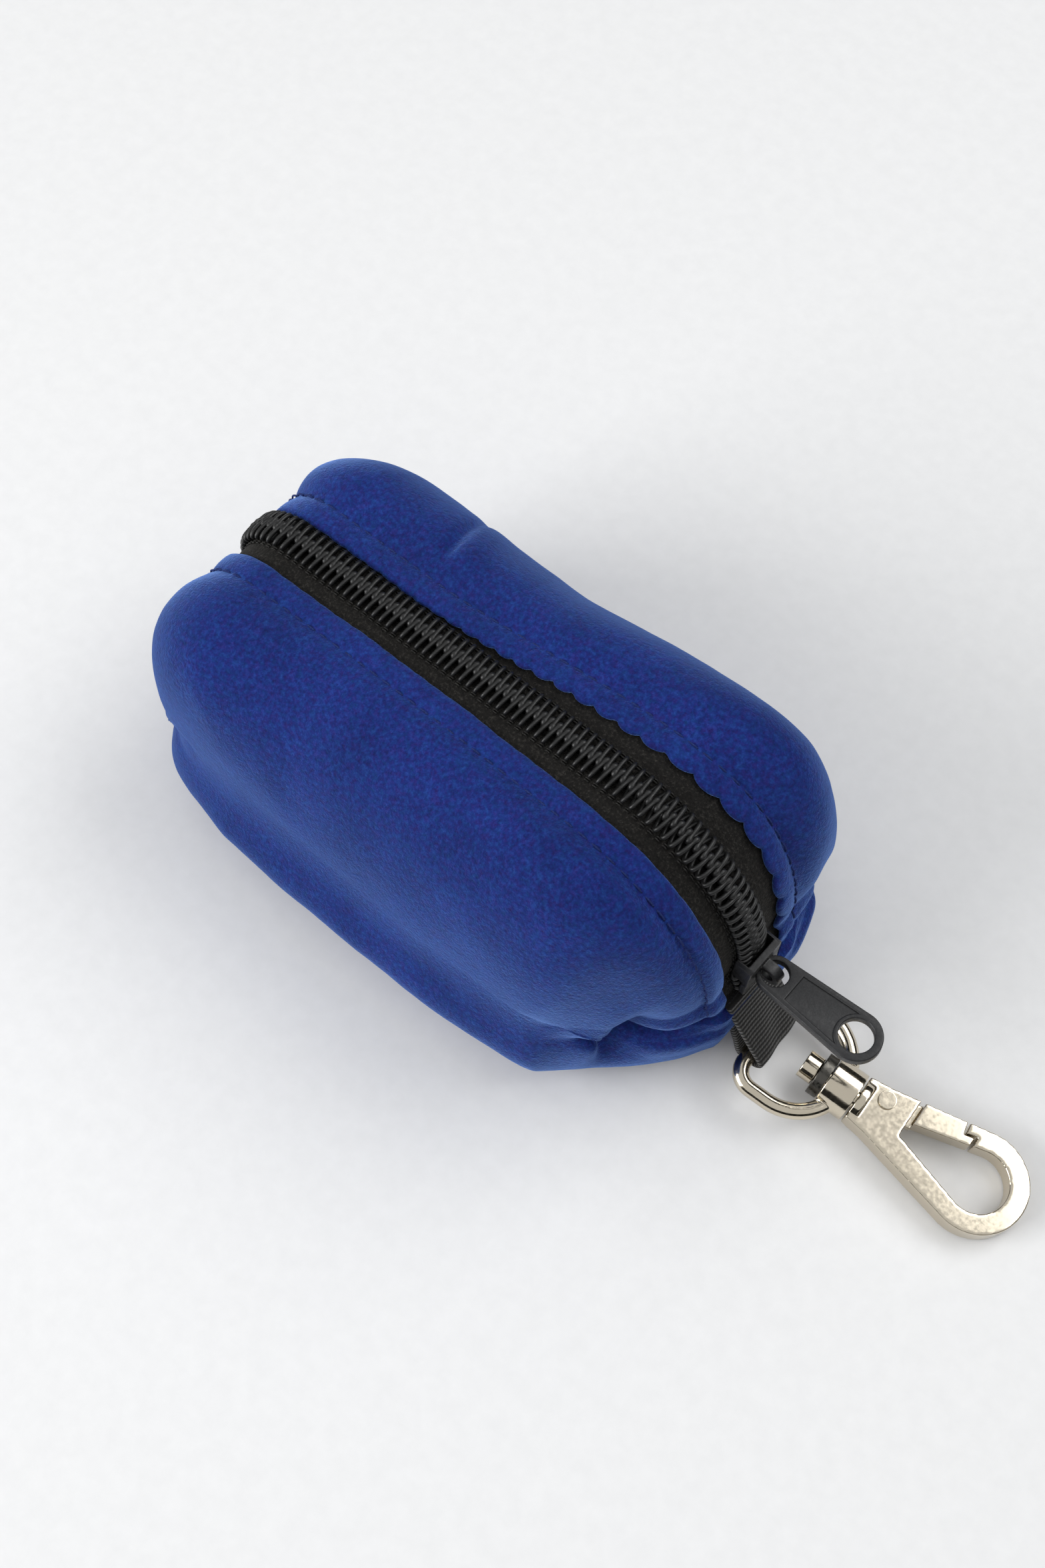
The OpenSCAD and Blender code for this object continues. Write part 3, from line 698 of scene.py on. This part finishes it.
def tape_half(side):
    s = np.linspace(0.3, LINE_LEN - 0.3, 420)
    p, n = on_line(s)
    across = np.array([(0.75, 0.22), (0.85, 0.30), (3.4, 0.30), (5.0, 0.30), (6.6, 0.29), (9.3, 0.24),
                       (9.5, 0.0), (9.3, -0.24), (5.0, -0.28), (0.85, -0.28), (0.75, -0.2)])
    verts = []
    for y, h in across:
        edge = y + np.where(y < 1, parted(s), 0)
        ripple = 0.05 * np.sin(s * 2 * math.pi / 7.5 + y) * (y > 3)
        out = h + ripple
        verts.append(np.stack([p[:, 0] + n[:, 0] * out, side * edge, p[:, 1] + n[:, 1] * out], 1))
    verts = np.concatenate(verts)
    faces = grid_faces(len(across), len(s), flip=side < 0)
    last = (len(across) - 1) * len(s)
    closing = [(last + j, last + j + 1, j + 1, j) for j in range(len(s) - 1)]
    faces += [f[::-1] for f in closing] if side < 0 else closing
    return verts, faces


def coil_half(side):
    """The nylon coil's turns: a flattened helix sewn to the tape's edge, its heads over the middle."""
    turns = int((LINE_LEN - 5) / PITCH)
    per = 20
    k = np.arange(turns * per)
    a = k * 2 * math.pi / per
    s = 2.6 + k * PITCH / per + (0.5 * PITCH if side > 0 else 0)
    # A slight lean, because the heads are drawn forward and the legs lie side by side.
    y = 1.12 + 1.78 * np.cos(a)
    head = bell(np.cos(a), 1, 0.3)
    h = 1.35 + 0.72 * np.sin(a) + 0.45 * head
    s = s + 0.22 * np.cos(a) * 0.5
    p, n = on_line(np.clip(s, 0, LINE_LEN))
    y = -y + 2.24
    pts = np.stack([p[:, 0] + n[:, 0] * h, side * (y + parted(s)), p[:, 1] + n[:, 1] * h], 1)
    thick = 0.37 + 0.15 * smooth(0.5, -0.4, y)
    return tube(pts, thick, 8)


def sewing_half(side):
    """The chain stitch that holds the coil to the tape: a small stitch over each turn."""
    parts = []
    for k in range(int((LINE_LEN - 8) / PITCH)):
        s = 3.5 + k * PITCH
        for y0 in (2.95, 3.35):
            p, n = on_line(np.array([s - 0.45, s - 0.2, s + 0.2, s + 0.45]))
            h = np.array([0.34, 0.52, 0.52, 0.34])
            y = side * (y0 + parted(np.array([s] * 4)))
            parts.append(tube(np.stack([p[:, 0] + n[:, 0] * h, y, p[:, 1] + n[:, 1] * h], 1), 0.12, 5))
    return joined(parts)


def topstitch_half(side):
    """The row of stitches sunk in the velvet's groove."""
    parts = []
    for k in range(int((LINE_LEN - 6) / 2.6)):
        s = 3.2 + (k + np.linspace(0.12, 0.88, 6)) * 2.6
        p, n = on_line(s)
        h = 1.36 - 0.28 * np.abs(np.linspace(-1, 1, 6)) ** 2
        y = side * (STITCH_Y + edge_shift(s, side))
        parts.append(tube(np.stack([p[:, 0] + n[:, 0] * h, y, p[:, 1] + n[:, 1] * h], 1), 0.17, 6))
    return joined(parts)


def build_zip():
    for side, word in ((-1, "left"), (1, "right")):
        jobs = (
            ("zip_tape", tape_half, TAPE, "zip_tape", (f"tape_{word}", f"lip_tape_{word}")),
            ("zip_coil", coil_half, COIL, "zip_coil", (f"coil_{word}", f"lip_coil_{word}")),
            ("coil_sewing", sewing_half, BLACK_THREAD, "zip_tape", ()),
            ("topstitching", topstitch_half, THREAD, "thread",
             (f"topstitch_{word}", f"lip_topstitch_{word}")),
        )
        for name, make, mat, slot, nodes in jobs:
            obj = new_mesh(f"{name}_{word}", *make(side), mat)
            if nodes:
                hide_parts(*nodes)
            follow_lip(obj)


# ---------------------------------------------------------------- castings from the CAD

def cast_copy(name, node, mat, voxel=0.14, rounds=10):
    """A copy of a CAD node with its edges softened as a casting's are."""
    source = frame["nodes"][node]
    obj = source.copy()
    obj.data = source.data.copy()
    obj.name = name
    obj.hide_render = False
    obj.hide_viewport = False
    bpy.context.scene.collection.objects.link(obj)
    remesh = obj.modifiers.new("remesh", "REMESH")
    remesh.mode = "VOXEL"
    remesh.voxel_size = voxel * MM
    soften = obj.modifiers.new("soften", "SMOOTH")
    soften.factor = 0.5
    soften.iterations = rounds
    bpy.context.view_layer.update()
    mesh = bpy.data.meshes.new_from_object(obj.evaluated_get(bpy.context.evaluated_depsgraph_get()))
    obj.modifiers.clear()
    obj.data = mesh
    mesh.materials.clear()
    mesh.materials.append(mat)
    mesh.polygons.foreach_set("use_smooth", [True] * len(mesh.polygons))
    return obj


def build_castings():
    jobs = (
        ("slider_casting", "slider_body", "slider", PAINT, "slider_paint", 0.10, 5),
        ("hook_casting", "hook_frame", "hook", PALE_METAL, "hook_metal", 0.14, 14),
        ("gate_casting", "gate_lever", "gate", PALE_METAL, "hook_metal", 0.12, 10),
        ("eye_casting", "swivel_eye", "eye", PALE_METAL, "hook_metal", 0.12, 3),
        ("post_turning", "swivel_post", "hook", PALE_METAL, "hook_metal", 0.10, 8),
        # The washer takes the metal coloured near-black as painted shade.
        ("washer_disc", "swivel_washer", "hook", WASHER_PAINTED_SHADE, "dark_washer", 0.08, 5),
        ("rivet_head", "gate_rivet", "hook", PALE_METAL, "hook_metal", 0.06, 2),
    )
    for name, node, body, mat, slot, voxel, rounds in jobs:
        obj = cast_copy(name, node, mat, voxel, rounds)
        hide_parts(node)
        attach(obj, body)
    spring = frame["nodes"]["gate_spring"]
    spring.data.materials.clear()
    spring.data.materials.append(PALE_METAL)


# ---------------------------------------------------------------- puller

# Its eye, free end and end hole, from the eye's place on the lug; its slope below level in degrees.
EYE_R = 2.15
EYE_X = 1.0
PULL_END_R = 4.1
PULL_SLOPE = -3.0
END_HOLE_R = 2.75
ROOT_R = 3.05


def circle_points(x, y, r, count=40, start=0.0, stop=360.0):
    a = np.radians(np.linspace(start, stop, count, endpoint=stop - start < 360))
    return np.stack([x + r * np.cos(a), y + r * np.sin(a)], 1)


def puller_edge(inset, end_x):
    """The puller's outline, round at both ends, set in by inset."""
    lean = math.degrees(math.asin((PULL_END_R - ROOT_R) / (end_x - EYE_X)))
    far = circle_points(end_x, 0, PULL_END_R - inset, 40, -90 - lean, 90 + lean)
    root = circle_points(EYE_X, 0, ROOT_R - inset, 32, 90 + lean, 270 - lean)
    return np.concatenate([far, root])


def puller_panel(end_x):
    """The recessed panel between the eye's rim and the end hole's rim."""
    x0, half0, half1 = 4.6, 2.35, 3.0
    rim = END_HOLE_R + 0.75
    x1 = end_x - math.sqrt(rim * rim - half1 * half1)
    angle = math.degrees(math.asin(half1 / rim))
    concave = circle_points(end_x, 0, rim, 14, 180 + angle, 180 - angle)
    lower = [(x0, -half0), (x1 - 0.3, -half1)]
    upper = [(x1 - 0.3, half1), (x0, half0)]
    return np.concatenate([lower, concave, upper])


def flat_casting(name, rings, half, edge):
    """A flat plate bounded by rings of points, the first outside, with rounded edges; (verts, faces)."""
    curve = bpy.data.curves.new(name, "CURVE")
    curve.dimensions = "2D"
    curve.fill_mode = "BOTH"
    curve.extrude = (half - edge) * MM
    curve.bevel_depth = edge * MM
    curve.bevel_resolution = 3
    curve.offset = -edge * MM
    for ring in rings:
        spline = curve.splines.new("POLY")
        spline.points.add(len(ring) - 1)
        spline.points.foreach_set("co", np.array([(x * MM, y * MM, 0, 1) for x, y in ring]).ravel())
        spline.use_cyclic_u = True
    obj = bpy.data.objects.new(name, curve)
    bpy.context.scene.collection.objects.link(obj)
    bpy.context.view_layer.update()
    mesh = obj.to_mesh()
    verts = np.array([v.co for v in mesh.vertices]) / MM
    faces = [tuple(p.vertices) for p in mesh.polygons]
    obj.to_mesh_clear()
    bpy.data.objects.remove(obj)
    bpy.data.curves.remove(curve)
    return verts, faces


def build_puller():
    low, high = cad_box("puller_plate")
    lug = np.array(joint("puller_swing")["pos_m"]) / MM
    slope = math.radians(PULL_SLOPE)
    length = (high[0] - lug[0] - 0.1) / math.cos(slope)
    end_x = length - PULL_END_R
    holes = [circle_points(EYE_X, 0, EYE_R), circle_points(end_x, 0, END_HOLE_R)]
    plate = flat_casting("plate", [puller_edge(0, end_x), *holes], 0.52, 0.18)
    rim = flat_casting("rim", [puller_edge(0, end_x), *holes, puller_panel(end_x)], 0.85, 0.24)
    verts, faces = joined([plate, rim])
    along_x = np.array([math.cos(slope), 0, -math.sin(slope)])
    up = np.array([math.sin(slope), 0, math.cos(slope)])
    # The eye's rim rests against the lug's pin.
    shift = EYE_R - EYE_X - 1.05
    placed = lug + (verts[:, :1] + shift) * along_x + verts[:, 1:2] * [0, 1, 0] + verts[:, 2:3] * up
    obj = new_mesh("puller_casting", placed, faces, PAINT)
    smooth_by_angle(obj)
    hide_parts("puller_plate")
    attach(obj, "puller")


def smooth_by_angle(obj, degrees=35):
    """Sharp edges stay sharp: faces that meet steeply are split where they meet."""
    mesh = bmesh.new()
    mesh.from_mesh(obj.data)
    bmesh.ops.remove_doubles(mesh, verts=mesh.verts, dist=0.005 * MM)
    limit = math.radians(degrees)
    steep = [e for e in mesh.edges if len(e.link_faces) == 2 and e.calc_face_angle(0) > limit]
    bmesh.ops.split_edges(mesh, edges=steep)
    mesh.to_mesh(obj.data)
    mesh.free()
    obj.data.polygons.foreach_set("use_smooth", [True] * len(obj.data.polygons))


# ---------------------------------------------------------------- webbing tab

# How far the eye's bar is turned from square across the webbing, in degrees.
BAR_YAW = 5.0


def build_tab():
    low, high = cad_box("webbing_tab")
    bar = np.array(joint("eye_swing")["pos_m"]) / MM
    root = np.array(joint("tab_bend")["pos_m"]) / MM
    mid_y = (low[1] + high[1]) / 2
    half = (high[1] - low[1]) / 2
    thick = 1.15
    eye_r = 1.35
    turn_r = eye_r + 0.45 + thick / 2
    axis = np.array([bar[0] - root[0], bar[2] - root[2]])
    length = np.linalg.norm(axis)
    axis /= length
    up = np.array([-axis[1], axis[0]])
    start = np.array([root[0], root[2]]) - axis * 0.8
    end = np.array([bar[0], bar[2]])
    a = np.linspace(math.radians(80), math.radians(-80), 28)
    bend = end + turn_r * (np.cos(a)[:, None] * axis + np.sin(a)[:, None] * up)
    t = np.linspace(0, 1, 16)[:, None]
    gap = thick / 2 + 0.06

    def leg(sign, tip):
        first = start + up * sign * gap
        second = start + axis * 4.5 + up * sign * gap
        return (1 - t) ** 2 * first + 2 * t * (1 - t) * second + t ** 2 * tip

    line = np.concatenate([leg(1, bend[0])[:-1], bend, leg(-1, bend[-1])[::-1][1:]])
    s = np.concatenate([[0], np.cumsum(np.linalg.norm(np.diff(line, axis=0), axis=1))])
    even = np.linspace(0, s[-1], 150)
    line = np.stack([np.interp(even, s, line[:, 0]), np.interp(even, s, line[:, 1])], 1)
    for _ in range(3):
        line[1:-1] = (line[:-2] + 2 * line[1:-1] + line[2:]) / 4
    tangent = np.gradient(line, axis=0)
    tangent /= np.linalg.norm(tangent, axis=1)[:, None]
    out = np.stack([-tangent[:, 1], tangent[:, 0]], 1)
    # The strip's cross-section: a flat oval with rounded selvedges.
    cross = []
    for y0, sgn in ((-half + 0.45, -1), (half - 0.45, 1)):
        for b in np.linspace(-90, 90, 7) if sgn > 0 else np.linspace(90, 270, 7):
            cross.append((y0 + 0.45 * math.cos(math.radians(b)), thick / 2 * math.sin(math.radians(b))))
        if sgn < 0:
            cross += [(y, -thick / 2) for y in np.linspace(-half + 0.9, half - 0.9, 24)]
        else:
            cross += [(y, thick / 2) for y in np.linspace(half - 0.9, -half + 0.9, 24)]
    cross = np.array(cross)
    yaw = math.radians(BAR_YAW)
    rings = []
    for k in range(len(line)):
        share = smooth(0, 1, np.linalg.norm(line[k] - start) / length)
        wave = 0.10 * np.sin(cross[:, 0] * 1.1 + even[k] * 0.35) * share
        q = line[k] + out[k] * (cross[:, 1:2] + wave[:, None])
        lean = -np.sin(yaw) * cross[:, 0] * share * 0.9
        rings.append(np.stack([q[:, 0] + lean, mid_y + cross[:, 0], q[:, 1]], 1))
    verts = np.concatenate(rings)
    count = len(cross)
    faces = grid_faces(len(line), count, close=True)
    faces.append(tuple(range(count))[::-1])
    faces.append(tuple((len(line) - 1) * count + j for j in range(count)))
    obj = new_mesh("webbing_loop", verts, faces, WEBBING)
    uv = obj.data.uv_layers.new(name="UVMap")
    for loop in obj.data.loops:
        ring, j = divmod(loop.vertex_index, count)
        uv.data[loop.index].uv = (even[ring], cross[j][0])
    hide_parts("webbing_tab")
    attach(obj, "tab")


# ---------------------------------------------------------------- stage, light, camera

def area_light(name, where, target, size, power, color=(1, 1, 1)):
    light = bpy.data.lights.new(name, "AREA")
    light.shape = "RECTANGLE"
    light.size, light.size_y = size
    light.energy = power
    light.color = color
    obj = bpy.data.objects.new(name, light)
    obj.location = where
    obj.rotation_euler = (Vector(target) - Vector(where)).to_track_quat("-Z", "Y").to_euler()
    bpy.context.scene.collection.objects.link(obj)


def studio_wall():
    """A dark wall round the table, open above, so that the metal has something dark to mirror."""
    a = np.arange(64) * 2 * math.pi / 64
    rings = [np.stack([2400 * np.cos(a), 2400 * np.sin(a), np.full(64, z)], 1) for z in (0.0, 1500.0)]
    dark = cloth_material("dark_wall", (0.02, 0.02, 0.02), (0.03, 0.03, 0.03), 20)
    return new_mesh("studio_wall", np.concatenate(rings), grid_faces(2, 64, close=True), dark)


def build_stage():
    floor = new_mesh("floor", [(-2500, -2500, 0), (2500, -2500, 0), (2500, 2500, 0), (-2500, 2500, 0)],
                     [(0, 1, 2, 3)], floor_material())
    studio_wall()
    world = bpy.data.worlds.new("studio")
    bpy.context.scene.world = world
    world.use_nodes = True
    world.node_tree.nodes["Background"].inputs[0].default_value = (0.97, 0.985, 1.0, 1)
    world.node_tree.nodes["Background"].inputs[1].default_value = 0.70
    middle = (0.02, 0, 0.02)
    area_light("key_back_right", (0.35, 0.70, 0.95), middle, (0.9, 0.7), 6.2)
    area_light("fill_left", (-0.55, -0.80, 0.45), middle, (0.7, 0.7), 10.0)
    bpy.context.scene.view_settings.view_transform = "Standard"


CAMERA_TURN = 41.96
CAMERA_DROP = 64.89
CAMERA_ROLL = -0.67
CAMERA_DISTANCE = 342.3
CAMERA_TARGET = (-2.1, 6.4, 3.0)
FOCAL_SHARE = 1.2766  # focal length as a share of the image's height


def build_camera():
    turn, drop = math.radians(CAMERA_TURN), math.radians(CAMERA_DROP)
    away = Vector((-math.sin(turn), math.cos(turn), 0))
    view = away * math.cos(drop) - Vector((0, 0, 1)) * math.sin(drop)
    right = Vector((math.cos(turn), math.sin(turn), 0))
    up = right.cross(view)
    roll = math.radians(CAMERA_ROLL)
    right, up = right * math.cos(roll) + up * math.sin(roll), up * math.cos(roll) - right * math.sin(roll)
    place_at = (Vector(CAMERA_TARGET) - view * CAMERA_DISTANCE) * MM
    data = bpy.data.cameras.new("photo_view")
    data.sensor_fit = "VERTICAL"
    data.sensor_height = 36
    data.lens = 36 * FOCAL_SHARE
    data.clip_start, data.clip_end = 0.01, 20
    obj = bpy.data.objects.new("photo_view", data)
    turned = Matrix((right, up, -view)).transposed().to_4x4()
    obj.matrix_world = Matrix.Translation(place_at) @ turned
    bpy.context.scene.collection.objects.link(obj)
    bpy.context.scene.camera = obj


build_camera()
build_panels()
build_zip()
build_castings()
build_puller()
build_tab()
build_stage()
